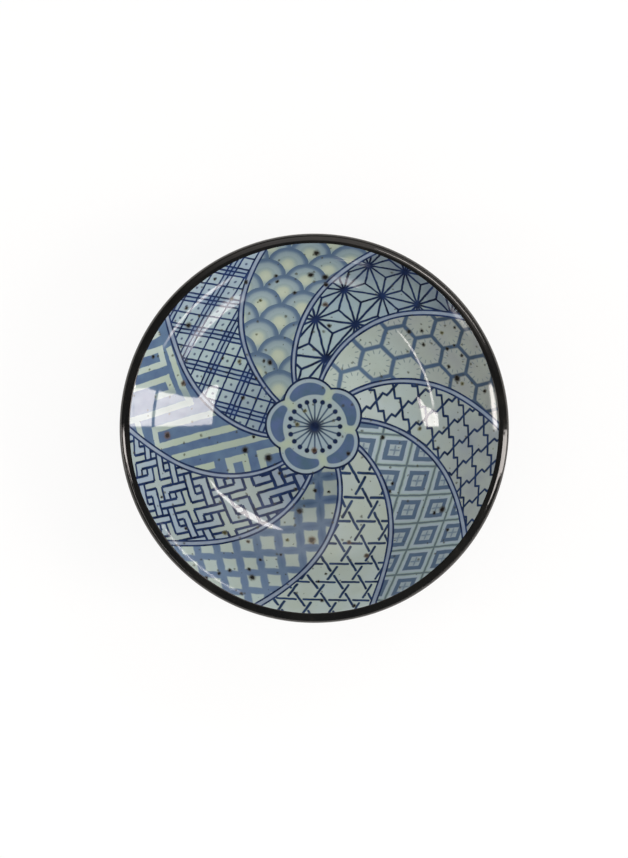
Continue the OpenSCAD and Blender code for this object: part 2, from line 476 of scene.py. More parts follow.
def drawBark(add, flat, lattice):
    a, b = meanSteps(bark)
    jogA, jogB = np.array(bark["jogA"] + (0,)), np.array(bark["jogB"] + (0,))
    crossing = add("VectorMath SUBTRACT", lattice, (0.5, 0.5, 0))
    point = inMillimetres(add, foldedSteps(add, crossing), a, b)
    runA, runB = a / 2 - jogA / 2, b / 2 - jogB / 2
    # the run rising to the right, the steep run, and the short jogs that join them in the cell's sides
    strokes = [(*-runA[:2], *runA[:2]), (*-runB[:2], *runB[:2])]
    for side, jog in ((a / 2, jogA), (b / 2, jogB)):
        strokes += [(*(s * side - jog / 2)[:2], *(s * side + jog / 2)[:2]) for s in (-1, 1)]
    cover = lineCover(add, [strokeDistance(add, point, strokes)], bark["line"])
    # the ground darkens towards the lip: painted shade
    pale = groundWithPaintedLight(add, flat, ((12, "#b0bcbc"), (24, "#a2b0b0"), (36, "#929c9e"), (48, "#828990")), "#a1ab9e", 0.5)
    return inked(add, flat, pale, cover, light="#273a5c", dark="#101e38")


# Nested lozenges: a blue ring round a pale one that a thin cross parts in four
lozenge = dict(
    origin=(19.981, -5.437), stepA=(7.991, -0.477), stepB=(-1.839, -7.45),
    driftAA=(-0.002, 0.058), driftAB=(0.035, 0.049), driftBB=(-0.085, -0.045), middle=(0.5, 1.5))


def drawLozenge(add, flat, lattice):
    part = add("VectorMath ABSOLUTE", add("VectorMath SCALE", foldedSteps(add, lattice), 2.0))
    x, y = add("SeparateXYZ", part).outputs[:2]
    most, least = add("Math MAXIMUM", x, y), add("Math MINIMUM", x, y)
    tones = fillRamp(add("ValToRGB", most), (
        (0.0, "#8b9b9f"), (0.34, "#9caaae"), (0.40, "#53677f"),
        (0.65, "#55687c"), (0.70, "#a0aeb8"), (0.86, "#9dafb2"),
        (0.915, "#8e9f9a"), (0.955, "#617176"), (1.0, "#586870")))
    # the print darkens away from the middle: painted shade
    tones = paintedShadeOutward(add, flat, tones, ((20, "#ffffff"), (32, "#f2f2f3"), (48, "#eaebed")))
    inside = add("MapRange", most, 0.30, 0.36, 1.0, 0.0)
    bar = add("MapRange", least, 0.03, 0.08, 0.7, 0.0)
    return add("Mix RGBA", add("Math MULTIPLY", inside, bar), tones, "#576a80")


# Woven basket: three ways of short strokes round six-sided openings
basket = dict(
    origin=(8.152, -14.078), stepA=(6.755, -0.14), stepB=(-3.376, -6.029),
    driftAA=(-0.201, -0.027), driftAB=(0.166, -0.002), driftBB=(-0.034, 0.017), middle=(1.0, 2.5),
    line=0.7, halfFlat=(2.36, -0.12), halfFalling=(1.24, -2.21), halfRising=(1.14, 2.0))


def drawBasket(add, flat, lattice):
    a, b = meanSteps(basket)
    crossing = add("VectorMath SUBTRACT", lattice, (0.5, 0.5, 0))
    point = inMillimetres(add, foldedSteps(add, crossing), a, b)
    strokes = []
    for middle, half in ((np.zeros(3), "halfFlat"), (a / 2, "halfFalling"), (-a / 2, "halfFalling"),
                         (b / 2, "halfRising"), (-b / 2, "halfRising")):
        x, y = basket[half]
        strokes.append((middle[0] - x, middle[1] - y, middle[0] + x, middle[1] + y))
    cover = lineCover(add, [strokeDistance(add, point, strokes)], basket["line"])
    # the ground lightens a little towards the lip: painted light
    pale = groundWithPaintedLight(add, flat, ((14, "#a3afae"), (30, "#a3b0ac"), (48, "#a7b6b6")), "#a0aa9a", 0.5)
    return inked(add, flat, pale, cover, light="#2b4061", dark="#14243f")


# Seven treasures: circles that overlap by a quarter and leave pale hollow squares
rings = dict(
    origin=(-6.268, -28.3), stepA=(5.562, 0.911), stepB=(0.521, -5.827),
    driftAA=(-0.032, -0.015), driftAB=(-0.033, -0.082), driftBB=(0.033, -0.043), middle=(-1.0, 0.5),
    circle=3.97, squareHalf=1.87)


def drawRings(add, flat, lattice):
    a, b = meanSteps(rings)
    point = inMillimetres(add, foldedSteps(add, lattice), a, b)
    nearest = leastOf(add, [add("VectorMath DISTANCE", point, tuple(side)) for side in (a, -a, b, -b)])
    hollow = add("MapRange", nearest, rings["circle"] - 0.2, rings["circle"] + 0.2, 0.0, 1.0)
    x, y = add("SeparateXYZ", add("VectorMath ABSOLUTE", point)).outputs[:2]
    most = add("Math MAXIMUM", x, y)
    square = add("MapRange", most, rings["squareHalf"] - 0.22, rings["squareHalf"] + 0.22, 1.0, 0.0)
    # both tones lighten towards the lip: painted light
    blue = groundWithPaintedLight(add, flat, ((16, "#32475e"), (30, "#4e637a"), (46, "#637993")), "#515f89", 0.3)
    lens = add("MapRange", nearest, rings["circle"] - 1.1, rings["circle"] - 0.1, 0.0, 0.35)
    blue = add("Mix RGBA", lens, blue, "#6d8094")
    pale = groundWithPaintedLight(add, flat, ((16, "#849190"), (30, "#96a3a0"), (46, "#a6b7b6")), "#9ea694")
    return add("Mix RGBA", add("Math MULTIPLY", hollow, square), blue, pale)


# Linked fret: crosses, small squares and bent bars on one grid, parted by thin dark lines
fret = dict(
    origin=(-32.93, -20.75), stepA=(2.04, 0.578), stepB=(-0.547, 1.867),
    driftAA=(0.016, 0.008), driftAB=(-0.016, -0.008), driftBB=(0.016, 0.008), middle=(0.0, 0.0),
    line=0.7, cellsWide=8, cellsHigh=4,
    crossCells=((0, 0), (1, 0), (2, 0), (-1, 0), (-2, 0), (0, 1), (0, 2), (0, -1), (0, -2)),
    squareCells=((2, 2), (2, -2), (4, 0)),
    barCells=((4, -1), (3, -1), (2, -1), (1, -1), (1, -2)))


def fretHome(x, y):
    # the cell of the first repeat that stands for a cell; each repeat above starts its own height further along
    up = y // fret["cellsHigh"] * fret["cellsHigh"]
    return (x - up) % fret["cellsWide"], y - up


def fretPieces():
    # the piece that each cell of a repeat belongs to, and the cell's place in that piece
    pieces = {fretHome(*cell): ("cross", cell) for cell in fret["crossCells"]}
    pieces.update((fretHome(*cell), (cell, cell)) for cell in fret["squareCells"])
    bar = fret["barCells"]
    for turn in range(4):
        pieces.update((fretHome(*cell), (turn, cell)) for cell in bar)
        bar = [(-y, x) for x, y in bar]
    return pieces


def fretWalls():
    # for each cell, 1 where a wall stands on its left, right, near and far side, and 1 if it is in a cross;
    # no wall stands between neighbours that touch in one piece
    pieces = fretPieces()
    table = []
    for index in range(len(pieces)):
        kind, (x, y) = pieces[index % fret["cellsWide"], index // fret["cellsWide"]]
        own = [cell for other, cell in pieces.values() if other == kind]
        sides = [(x - 1, y), (x + 1, y), (x, y - 1), (x, y + 1)]
        table.append([float(side not in own) for side in sides] + [float(kind == "cross")])
    return table


def drawFret(add, flat, lattice):
    width, height = (float(np.linalg.norm(step)) for step in meanSteps(fret))
    moved = add("VectorMath ADD", lattice, (0.5, 0.5, 0))
    x, y = add("SeparateXYZ", add("VectorMath FLOOR", moved)).outputs[:2]
    row = add("Math FLOORED_MODULO", y, fret["cellsHigh"])
    along = add("Math SUBTRACT", x, add("Math SUBTRACT", y, row))
    along = add("Math FLOORED_MODULO", along, fret["cellsWide"])
    index = add("Math ADD", add("Math MULTIPLY_ADD", row, fret["cellsWide"], along), 0.5)
    walls = fretWalls()
    count = len(walls)
    index = add("Math DIVIDE", index, count)
    lookup = fillRamp(add("ValToRGB", index), [(k / count, wall[:4]) for k, wall in enumerate(walls)], "CONSTANT")
    left, right, near = add("SeparateColor", lookup.outputs["Color"]).outputs[:3]
    far = lookup.outputs["Alpha"]
    x, y = add("SeparateXYZ", add("VectorMath FRACTION", moved)).outputs[:2]
    distances = []
    for wall, share, ahead, size in ((left, x, False, width), (right, x, True, width),
                                     (near, y, False, height), (far, y, True, height)):
        away = add("Math MULTIPLY", add("Math SUBTRACT", 1.0, share) if ahead else share, size)
        # a side without a wall counts as 5 mm away
        distances.append(add("Math MULTIPLY_ADD", add("Math SUBTRACT", 1.0, wall), 5.0, away))
    cover = lineCover(add, distances, fret["line"], 0.06)
    # the ground is darker near the middle and lighter outward: painted light and shade
    pale = groundWithPaintedLight(add, flat, ((16, "#7d8b9c"), (30, "#92a0a7"), (46, "#8e9fae")), "#9ba9a6")
    crosses = [(k / count, [wall[4]] * 3 + [1.0]) for k, wall in enumerate(walls)]
    crosses = fillRamp(add("ValToRGB", index), crosses, "CONSTANT")
    pale = add("Mix RGBA", add("Math MULTIPLY", crosses, 0.35), pale, "#a2ad96")
    return inked(add, flat, pale, cover, light="#24365b", dark="#0e1b39")


# Wide key fret: broad pale strokes left bare in mid blue; in the outer part of the panel's middle rows, where the
# window's reflection lies, the strokes are painted fainter, a painted reflection
key = dict(
    origin=(-30.40, 0.27), stepA=(1.693, 0.4065), stepB=(-0.4065, 1.693),
    driftAA=(0.0, 0.0), driftAB=(0.0, 0.0), driftBB=(0.0, 0.0), middle=(0.0, 4.0), stroke=0.98,
    reflectionRow=5.3, reflectionAside=(3.6, 6.6), reflectionAlong=(-28.0, -21.0), reflectionFade=0.45,
    strokes=((-7.2, 1.3, -7.2, -1.4), (-7.2, -1.4, 6.5, -1.4), (-7.2, 1.3, 3.5, 1.3), (-4.5, -3.65, 11.0, -3.65),
             (4.0, -8.5, 4.0, -5.9), (4.0, -5.9, 6.35, -5.9), (6.35, -5.9, 6.35, -8.5),
             (8.7, -8.5, 8.7, -5.9), (8.7, -5.9, 12.5, -5.9), (-1.0, -6.0, 1.25, -6.0),
             (-9.0, 13.65, -3.8, 13.65), (-3.8, 13.65, -3.55, 11.1), (-3.55, 11.1, -10.0, 11.1),
             (-10.5, 8.6, -3.3, 8.6), (-3.3, 8.6, -2.6, 6.2), (-2.6, 6.2, -5.5, 6.2),
             (-2.2, 13.0, -1.6, 10.0), (-1.6, 10.0, -0.9, 6.8), (-0.9, 6.8, 0.1, 3.75), (0.1, 3.75, -11.0, 3.75),
             (-10.2, 3.75, -9.8, -0.5), (-5.0, 16.0, -4.0, 16.2)))


def drawKey(add, flat, lattice):
    cover = lineCover(add, [squareStrokeDistance(add, lattice, key["strokes"])], key["stroke"], 0.06, 0.06)
    # the pale strokes fade to blue where the window's reflection lies: a painted reflection
    x, y = add("SeparateXYZ", flat).outputs[:2]
    aside = add("Math ABSOLUTE", add("Math SUBTRACT", y, key["reflectionRow"]))
    underReflection = add("MapRange SMOOTHSTEP", aside, *key["reflectionAside"], key["reflectionFade"], 0.0)
    underReflection = add("Math MULTIPLY", underReflection, add("MapRange SMOOTHSTEP", x, *key["reflectionAlong"], 1.0, 0.0))
    cover = add("Math MULTIPLY", cover, add("Math SUBTRACT", 1.0, underReflection))
    blue = mottled(add, flat, "#4d6180", "#586f89", 0.2)
    # the ground lightens towards the lip: painted light
    pale = groundWithPaintedLight(add, flat, ((16, "#94a29c"), (34, "#9caca2"), (46, "#a7b5b2")), "#9dab90", 0.5)
    return add("Mix RGBA", cover, blue, pale)


# Plaid: groups of three close lines and single lines, both ways, with a dot in every square
plaid = dict(
    origin=(-28.74, 20.514), stepA=(9.437, -2.533), stepB=(3.849, 8.342),
    driftAA=(-0.203, 0.043), driftAB=(-0.144, 0.002), driftBB=(0.113, 0.126), middle=(0.2, 0.3),
    line=0.48, tripleSpacing=0.128, dotPlace=0.19)


def drawPlaid(add, flat, lattice):
    a, b = meanSteps(plaid)
    area = abs(a[0] * b[1] - a[1] * b[0])
    part = add("VectorMath ABSOLUTE", foldedSteps(add, lattice))
    x, y = add("SeparateXYZ", part).outputs[:2]
    spacing, distances, strips = plaid["tripleSpacing"], [], []
    for share, side in ((x, b), (y, a)):
        # lines lie at 0, at a half and one spacing before the half
        before = add("Math ABSOLUTE", add("Math SUBTRACT", 0.5 - spacing, share))
        centre = add("Math SUBTRACT", 0.5, share)
        away = leastOf(add, (before, centre, share))
        distances.append(add("Math MULTIPLY", away, float(area / np.linalg.norm(side))))
        strips.append(add("MapRange", centre, spacing, spacing + 0.03, 0.45, 0.0))
    # the ground is lighter partway out and darker near the middle and the lip: painted light and shade
    pale = groundWithPaintedLight(add, flat, ((16, "#7e8e9c"), (30, "#9fb2b6"), (46, "#8e9fae")), "#9aaea7")
    pale = add("Mix RGBA", add("Math ADD", *strips), pale, "#6a7f9b")
    cover = lineCover(add, distances, plaid["line"], 0.07)
    spot = add("VectorMath SUBTRACT", part, (plaid["dotPlace"], plaid["dotPlace"], 0))
    spot = add("VectorMath LENGTH", inMillimetres(add, spot, a, b))
    cover = add("Math MAXIMUM", cover, add("MapRange SMOOTHSTEP", spot, 0.22, 0.5, 0.8, 0.0))
    return inked(add, flat, pale, cover, light="#20335f", dark="#0d1b3d")


def drawPlum(add, flat, lattice):
    lobes = [(plum["lobeReach"] * math.cos(math.radians(lobe)), plum["lobeReach"] * math.sin(math.radians(lobe)), 0)
             for lobe in plum["lobeAngles"]]
    reach = add("VectorMath LENGTH", lattice)
    petal = leastOf(add, [add("VectorMath DISTANCE", lattice, lobe) for lobe in lobes])
    inset = add("Math SUBTRACT", plum["lobeRadius"], petal)
    pale = mottled(add, flat, "#94a3a2", "#8b9ca5")
    pale = add("Mix RGBA", add("MapRange", inset, 1.3, 0.5, 0.0, 0.4), pale, "#8797ac")
    # millimetres sideways from the line on which two petals meet; the glaze pooled yellow-green there
    x, y = add("SeparateXYZ", lattice).outputs[:2]
    turn = add("Math SUBTRACT", add("Math ARCTAN2", y, x), math.radians(plum["firstPetal"]))
    turn = add("Math ABSOLUTE", add("Math WRAP", turn, math.pi / 5, -math.pi / 5))
    aside = add("Math MULTIPLY", add("Math SINE", add("Math SUBTRACT", math.pi / 5, turn)), reach)
    pool = add("MapRange SMOOTHSTEP", aside, 0.2, 1.9, 0.5, 0.0)
    pool = add("Math MULTIPLY", pool, add("MapRange", reach, 5.9, 7.4, 0.0, 1.0))
    pale = add("Mix RGBA", pool, pale, "#a5b18c")
    # a blue crescent keeps clear of the middle, of its petal's edge and of the next petals
    crescent = add("Math SMOOTH_MIN", add("Math SUBTRACT", reach, plum["crescentReach"]),
                   add("Math SUBTRACT", inset, plum["crescentInset"]), 0.9)
    crescent = add("Math SMOOTH_MIN", crescent, add("Math SUBTRACT", aside, plum["crescentAside"]), 1.1)
    crescent = add("MapRange", crescent, -0.1, 0.12, 0.0, 1.0)
    colour = add("Mix RGBA", crescent, pale, mottled(add, flat, "#465d70", "#4f6084", 0.25))
    # the stamens: threads that swell and darken towards the heart, each with a round head
    centred = add("VectorMath SUBTRACT", lattice, (*plum["heart"], 0))
    out = add("VectorMath LENGTH", centred)
    aside = asideOfSpoke(add, centred, out, plum["stamens"])
    thread = add("Math SUBTRACT", add("Math ABSOLUTE", aside), add("MapRange", out, 0.9, 2.6, 0.1, 0.0))
    thread = add("MapRange", thread, 0.13, 0.29, 0.92, 0.0)
    thread = add("Math MULTIPLY", thread, add("MapRange", out, 5.7, 6.0, 1.0, 0.0))
    threadTone = add("Mix RGBA", add("MapRange", out, 1.4, 3.4, 0.0, 1.0), "#101c36", "#374a62")
    colour = add("Mix RGBA", thread, colour, threadTone)
    head = add("CombineXYZ", add("Math SUBTRACT", out, plum["stamenReach"]), aside)
    head = add("MapRange", add("VectorMath LENGTH", head), 0.5, 0.72, 1.0, 0.0)
    cover = add("Math MAXIMUM", head, add("MapRange", out, 0.85, 1.35, 1.0, 0.0))
    cover = add("Math MAXIMUM", cover, add("MapRange", inset, 0.2, 0.36, 1.0, 0.0))
    return inked(add, flat, colour, cover, light="#1f2e50", dark="#0c162c")


def drawRibbon(add, flat, lattice):
    # pale lavender ribbon between two dark lines; its map holds the place across it and its half width
    across, half = add("SeparateXYZ", lattice).outputs[:2]
    inset = add("Math SUBTRACT", half, add("Math ABSOLUTE", across))
    cover = add("MapRange", inset, 0.42, 0.60, 1.0, 0.0)
    pale = mottled(add, flat, "#8a97a6", "#7b899d", 0.3)
    return inked(add, flat, pale, cover, light="#2a3b60", dark="#121e3a")


# Iron specks seen in each panel: place in flat millimetres and radius
spots = dict(
    waves=dict(black=((0.6, 48.3, 0.8), (-0.94, 41.0, 0.75), (-10.3, 41.0, 0.5), (-9.84, 39.1, 0.45), (-5.1, 35.2, 0.5),
                      (2.95, 40.2, 0.8), (3.1, 38.1, 0.5), (-11.0, 16.3, 0.6), (-12.5, 16.7, 0.4), (-17.6, 16.3, 0.35)),
               olive=((-14.0, 33.3, 0.4), (-14.3, 13.0, 0.4))),
    hemp=dict(black=((3.75, 25.7, 0.45), (26.1, 27.8, 0.35)), rust=((2.8, 31.6, 0.6),)),
    shell=dict(black=((28.3, 25.7, 0.5), (24.5, 25.0, 0.6), (28.3, 21.7, 0.5), (35.6, 21.2, 0.5), (37.9, 22.4, 0.4),
                      (40.1, 19.7, 0.45), (35.6, 16.3, 0.5), (38.0, 13.3, 0.85), (46.9, 10.2, 0.5), (33.7, 30.9, 0.4),
                      (38.6, 27.7, 0.45)), olive=((39.6, 11.9, 0.5), (34.4, 25.7, 0.5))),
    bark=dict(black=((31.7, -5.0, 0.4),), olive=((26.5, -0.07, 0.5),)),
    lozenge=dict(black=((16.9, -2.3, 0.5), (34.1, -21.6, 0.8), (31.7, -22.4, 0.5), (36.4, -27.7, 0.45),
                        (19.5, -13.8, 0.4), (18.8, -15.8, 0.4)), olive=((8.4, -6.4, 0.4),)),
    basket=dict(black=((1.1, -40.9, 0.4), (2.1, -47.3, 0.5), (11.1, -49.3, 0.5), (3.1, -38.4, 0.35)),
                rust=((13.5, -33.1, 0.6), (8.8, -28.9, 0.5))),
    rings=dict(black=((0.2, -15.3, 0.45), (3.6, -15.7, 0.35), (-14.1, -34.4, 0.4), (-17.5, -37.8, 0.5),
                      (-16.8, -40.4, 0.8), (-23.0, -38.6, 0.5), (-26.2, -39.9, 0.5), (-30.1, -41.6, 0.45),
                      (-20.2, -45.9, 0.5), (-3.6, -20.5, 0.7), (-8.6, -32.5, 0.35)),
               rust=((-0.6, -28.2, 0.85), (-17.0, -29.2, 0.45), (-5.6, -19.5, 0.45)), olive=((-6.8, -28.3, 0.45),)),
    fret=dict(black=((-41.6, -18.8, 0.4), (-34.8, -27.2, 0.45), (-34.4, -10.3, 0.4), (-8.6, -11.1, 0.4),
                     (-4.6, -15.1, 0.4)), olive=((-23.2, -27.2, 0.6),)),
    key=dict(black=((-11.3, -7.3, 0.85), (-17.1, -5.4, 0.7), (-15.0, -2.1, 0.4), (-44.5, 19.7, 0.5),
                    (-25.0, -12.5, 0.4)), rust=((-38.8, -1.9, 0.85), (-34.1, 11.7, 0.6))),
    plaid=dict(black=((-39.4, 22.7, 0.5), (-34.1, 27.9, 0.75), (-35.2, 33.1, 0.5), (-31.1, 30.4, 0.4),
                      (-27.6, 41.3, 0.4), (-22.0, 34.6, 0.5), (-17.7, 23.0, 0.5), (-14.3, 13.0, 0.4),
                      (-17.7, 7.5, 0.45), (-23.2, 17.7, 0.4)), olive=((-18.7, 16.7, 0.45),)),
    plum=dict(olive=((-4.2, 0.9, 0.5), (-2.3, 4.3, 0.45)), rust=((0.0, -5.4, 0.6),), black=((8.4, -6.3, 0.5),)),
    ribbon=dict(black=((3.1, 37.7, 0.6), (-18.5, 39.5, 0.6), (-14.5, 12.3, 0.4))))

panels = (("waves", waves, drawWaves), ("hemp", hemp, drawHemp), ("shell", shell, drawShell),
          ("bark", bark, drawBark), ("lozenge", lozenge, drawLozenge), ("basket", basket, drawBasket),
          ("rings", rings, drawRings), ("fret", fret, drawFret), ("key", key, drawKey), ("plaid", plaid, drawPlaid))
ribbonSlot, plumSlot = len(panels), len(panels) + 1


def printedMaterial(name, panel, draw):
    material, add = newMaterial("cobalt print under clear glaze, " + name)
    flat = add("UVMap", uv_map="flatMm").outputs["UV"]
    lattice = add("UVMap", uv_map="print").outputs["UV"]
    if panel:
        lattice = wavered(add, flat, lattice, panel)
    colour = draw(add, flat, lattice)
    clearGlaze(add, flat, ironSpots(add, flat, colour, spots[name]))
    return material


printMaterials = [printedMaterial(*row) for row in panels + (("ribbon", None, drawRibbon), ("plum", None, drawPlum))]
print("printed materials:", len(printMaterials))

# The map for baked textures: millimetres across it for the well as seen from above, which fills it, and for the
# coat's underside, which is small in a corner
bakeMap = dict(wellAcross=90.6, underAcross=900, underPlace=0.07)


def wellEdge(angle):
    # distance along the glaze at which the dark coat begins
    share = (section["darkEdge"] + edgeShift(angle) - section["lipRadius"]) / section["lipCurve"]
    return wallEnd + section["lipCurve"] * (3 * wallTurn - np.arccos(share))


def wellPoints(flat, sink=0.0):
    # points in millimetres and normals of the glaze at flat places, or of the face that lies a sink below it
    distance, angle = np.hypot(flat[:, 0], flat[:, 1]), np.arctan2(flat[:, 1], flat[:, 0])
    radius, height, slope = onWell(distance)
    radius, height = radius + sink * np.sin(slope), height - sink * np.cos(slope)
    points = np.stack([radius * np.cos(angle), radius * np.sin(angle), height], 1)
    slope = slope + np.radians(np.interp(distance, throwingRings["at"], throwingRings["tilt"]))
    return points, np.stack([-np.sin(slope) * np.cos(angle), -np.sin(slope) * np.sin(angle), np.cos(slope)], 1)


def buildWell():
    columns = 10 * perPanel
    heart = np.array(plum["middle"])

    def anglesAt(distances):
        return np.array([columnAngle(column, distance) for column, distance in enumerate(distances)])

    def flatRow(distances):
        angles = anglesAt(distances)
        return np.stack([distances * np.cos(angles), distances * np.sin(angles)], 1)

    # where each column leaves the plum's outline, found by halving, and where it meets the dark coat
    low, high = np.full(columns, 8.0), np.full(columns, 15.0)
    for turn in range(40):
        mid = (low + high) / 2
        x, y = (flatRow(mid) - heart).T
        outside = np.hypot(x, y) > plumReach(np.arctan2(y, x))
        high, low = np.where(outside, mid, high), np.where(outside, low, mid)
    start = (low + high) / 2
    finish = np.full(columns, wallEnd)
    for turn in range(4):
        finish = wellEdge(anglesAt(finish))

    # rows of places from the heart outward, then every sixth of them back to it on the underside
    outline = flatRow(start)
    rows = [heart + f * (outline - heart) for f in np.linspace(0, 1, plum["rings"] + 1)[1:]]
    rows += [flatRow(start + (finish - start) * share) for share in np.linspace(0, 1, swirl["rings"] + 1)[1:]]
    under = [rows[-1]] + rows[-6::-6]
    flatTop, flatUnder = np.concatenate([heart[None]] + rows), np.concatenate(under + [heart[None]])
    top, topNormals = wellPoints(flatTop)
    bottom, bottomNormals = wellPoints(flatUnder, section["claySkin"])
    points = np.concatenate([top, bottom]) * millimetre
    normals = np.concatenate([topNormals, -bottomNormals])

    def vertex(row, column):
        return 1 + row * columns + column % columns

    def quad(row, column):
        return vertex(row, column), vertex(row, column + 1), vertex(row + 1, column + 1), vertex(row + 1, column)

    faces, slots = [], []
    topRows, lastRow = len(rows), len(rows) + len(under) - 1
    for column in range(columns):
        number, across = divmod(column, perPanel)
        slot = ribbonSlot if across < 2 else number
        faces.append((0, vertex(0, column + 1), vertex(0, column)))
        faces += [quad(row, column) for row in range(topRows - 1)]
        slots += [plumSlot] * plum["rings"] + [slot] * swirl["rings"]
    topFaces = len(faces)
    for column in range(columns):
        faces += [quad(row, column) for row in range(topRows - 1, lastRow)]
        faces.append((vertex(lastRow, column), vertex(lastRow, column + 1), len(points) - 1))
    slots += [ribbonSlot] * (len(faces) - topFaces)

    mesh = newMesh("printed_well", points.tolist(), faces, printMaterials)
    mesh.polygons.foreach_set("material_index", slots)
    mesh.polygons.foreach_set("use_smooth", [True] * len(faces))

    corners = cornerVertices(mesh)
    cornerFace = np.repeat(np.arange(len(faces)), [len(face) for face in faces])
    cornerFlat, cornerSlot = np.concatenate([flatTop, flatUnder])[corners], np.array(slots)[cornerFace]
    onTop = cornerFace < topFaces
    seen = points[corners, :2] / millimetre
    bake = np.where(onTop[:, None], 0.5 + seen / bakeMap["wellAcross"],
                    bakeMap["underPlace"] + seen / bakeMap["underAcross"])
    lattice = np.zeros_like(cornerFlat)
    for number, (name, panel, draw) in enumerate(panels):
        chosen = cornerSlot == number
        lattice[chosen] = latticeOf(panel, cornerFlat[chosen])
    chosen = cornerSlot == plumSlot
    lattice[chosen] = cornerFlat[chosen] - heart
    # across the ribbon: where a corner is between its two edges, and the half width there
    chosen = (cornerSlot == ribbonSlot) & onTop
    across = (corners - 1) % columns % perPanel - 1
    half = ribbonWidth(np.hypot(*cornerFlat.T)) / 2
    lattice[chosen] = np.stack([across * half, half], 1)[chosen]
    for name, places in (("OFBake", bake), ("flatMm", cornerFlat), ("print", lattice)):
        putMap(mesh, name, places)
    mesh.update()
    mesh.normals_split_custom_set_from_vertices(normals.tolist())
    return placed("printed_well", mesh)


well = buildWell()
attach(well, "root")
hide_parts("well_glaze")
print("printed well:", len(well.data.polygons), "faces")


# Turned pieces, each from a closed section of radius and height

def fromBelow(distance, degrees):
    # a point round the centre of the underside's curve, from straight down outward
    turn = math.radians(degrees)
    return section["floorRadius"] + distance * math.sin(turn), section["curveCentre"] - distance * math.cos(turn)


def arc(centre, radius, fromDegrees, toDegrees, count):
    turns = np.radians(np.linspace(fromDegrees, toDegrees, count))
    return [(centre[0] + radius * math.cos(t), centre[1] + radius * math.sin(t)) for t in turns]


def between(start, end, shares):
    return [tuple(np.array(start) * (1 - share) + np.array(end) * share) for share in shares]


def footFillet(side, lean):
    # angle under the bowl at which the slip fillet meets it, the fillet's centre and the foot side's normal
    lean = math.radians(lean)
    normal = (side * math.cos(lean), -math.sin(lean))
    edge = (section["footOuter"] if side > 0 else section["footInner"], section["footEdge"])
    gap = (normal[0] * (edge[0] - section["floorRadius"]) + normal[1] * (edge[1] - section["curveCentre"])
           + section["footEdge"] + section["fillet"] + section["claySkin"])
    reach = section["underRadius"] + section["fillet"]
    degrees = side * (math.degrees(math.asin(gap / reach)) - math.degrees(lean))
    return degrees, fromBelow(reach, degrees), normal, edge


def turnedPiece(name, profile, material, columns, waver=None):
    # the points of the section run anticlockwise with radius to the right
    profile = np.array(profile, float)
    rows = []
    for angle in np.arange(columns) * 2 * math.pi / columns:
        radius, height = (waver(profile, angle) if waver else profile).T
        rows.append(np.stack([radius * math.cos(angle), radius * math.sin(angle), height], 1))
    count = len(profile)
    faces = []
    for c in range(columns):
        d = (c + 1) % columns
        for k in range(count):
            n = (k + 1) % count
            faces.append((c * count + k, d * count + k, d * count + n, c * count + n))
    mesh = newMesh(name, (np.concatenate(rows) * millimetre).tolist(), faces, [material])
    if profile[:, 0].min() < 1e-6:
        # a section that reaches the axis closes there in one point
        solid = bmesh.new()
        solid.from_mesh(mesh)
        bmesh.ops.remove_doubles(solid, verts=solid.verts, dist=1e-7)
        solid.to_mesh(mesh)
        solid.free()
    mesh.polygons.foreach_set("use_smooth", [True] * len(mesh.polygons))
    mesh.update()
    return placed(name, mesh)


def ironGlaze():
    # iron-saturated stoneware glaze, dipped and fired: near black, in soft patches of tone with fine brown flecks
    material, add = newMaterial("tenmoku iron glaze, dipped")
    place = add("TexCoord").outputs["Object"]
    fine = add("TexNoise", place, inputs={"Scale": 700.0, "Detail": 3.0})
    broad = add("TexNoise", place, inputs={"Scale": 90.0, "Detail": 2.0})
    tone = fillRamp(add("ValToRGB", broad), ((0.3, "#0e0f10"), (0.6, "#151514"), (0.8, "#21201d")))
    colour = add("Mix RGBA", add("MapRange", fine, 0.64, 0.74, 0.0, 0.45), tone, "#302a24")
    peel = add("TexNoise", place, inputs={"Scale": 260.0, "Detail": 2.0})
    bump = add("Bump", inputs={"Height": peel, "Strength": 0.35, "Distance": 0.00012})
    surface = add("BsdfPrincipled", inputs={"Base Color": colour, "Roughness": 0.08, "IOR": 1.55, "Normal": bump})
    add("OutputMaterial", surface)
    return material


def bareClay():
    # grey-buff stoneware, turned and left bare: matt, gritty, warm where the kiln flashed it
    material, add = newMaterial("buff stoneware, turned and unglazed")
    place = add("TexCoord").outputs["Object"]
    grit = add("TexNoise", place, inputs={"Scale": 1400.0, "Detail": 4.0})
    flash = add("TexNoise", place, inputs={"Scale": 60.0, "Detail": 2.0})
    tone = fillRamp(add("ValToRGB", flash), ((0.3, "#b7a68c"), (0.55, "#c4b59c"), (0.75, "#b08f6c")))
    colour = add("Mix RGBA", add("MapRange", grit, 0.66, 0.74, 0.0, 0.7), tone, "#6b5a48")
    bump = add("Bump", inputs={"Height": grit, "Strength": 0.5, "Distance": 0.00008})
    add("OutputMaterial", add("BsdfPrincipled", inputs={"Base Color": colour, "Roughness": 0.85, "Normal": bump}))
    return material


iron, clay = ironGlaze(), bareClay()
lip = (section["lipRadius"], section["lipHeight"])
outerAngle, outerFillet, outerNormal, outerEdge = footFillet(1, section["leanOut"])
innerAngle, innerFillet, innerNormal, innerEdge = footFillet(-1, section["leanIn"])


def footSide(filletCentre, normal, fillet, height):
    # where a foot side, seen as a line, starts at its fillet and where it crosses a height
    start = (filletCentre[0] - fillet * normal[0], filletCentre[1] - fillet * normal[1])
    drop = (start[1] - height) / abs(normal[0])
    return start, (start[0] + drop * normal[1] * (1 if normal[0] > 0 else -1), height)


def turnTowards(normal):
    return math.degrees(math.atan2(-normal[1], -normal[0]))


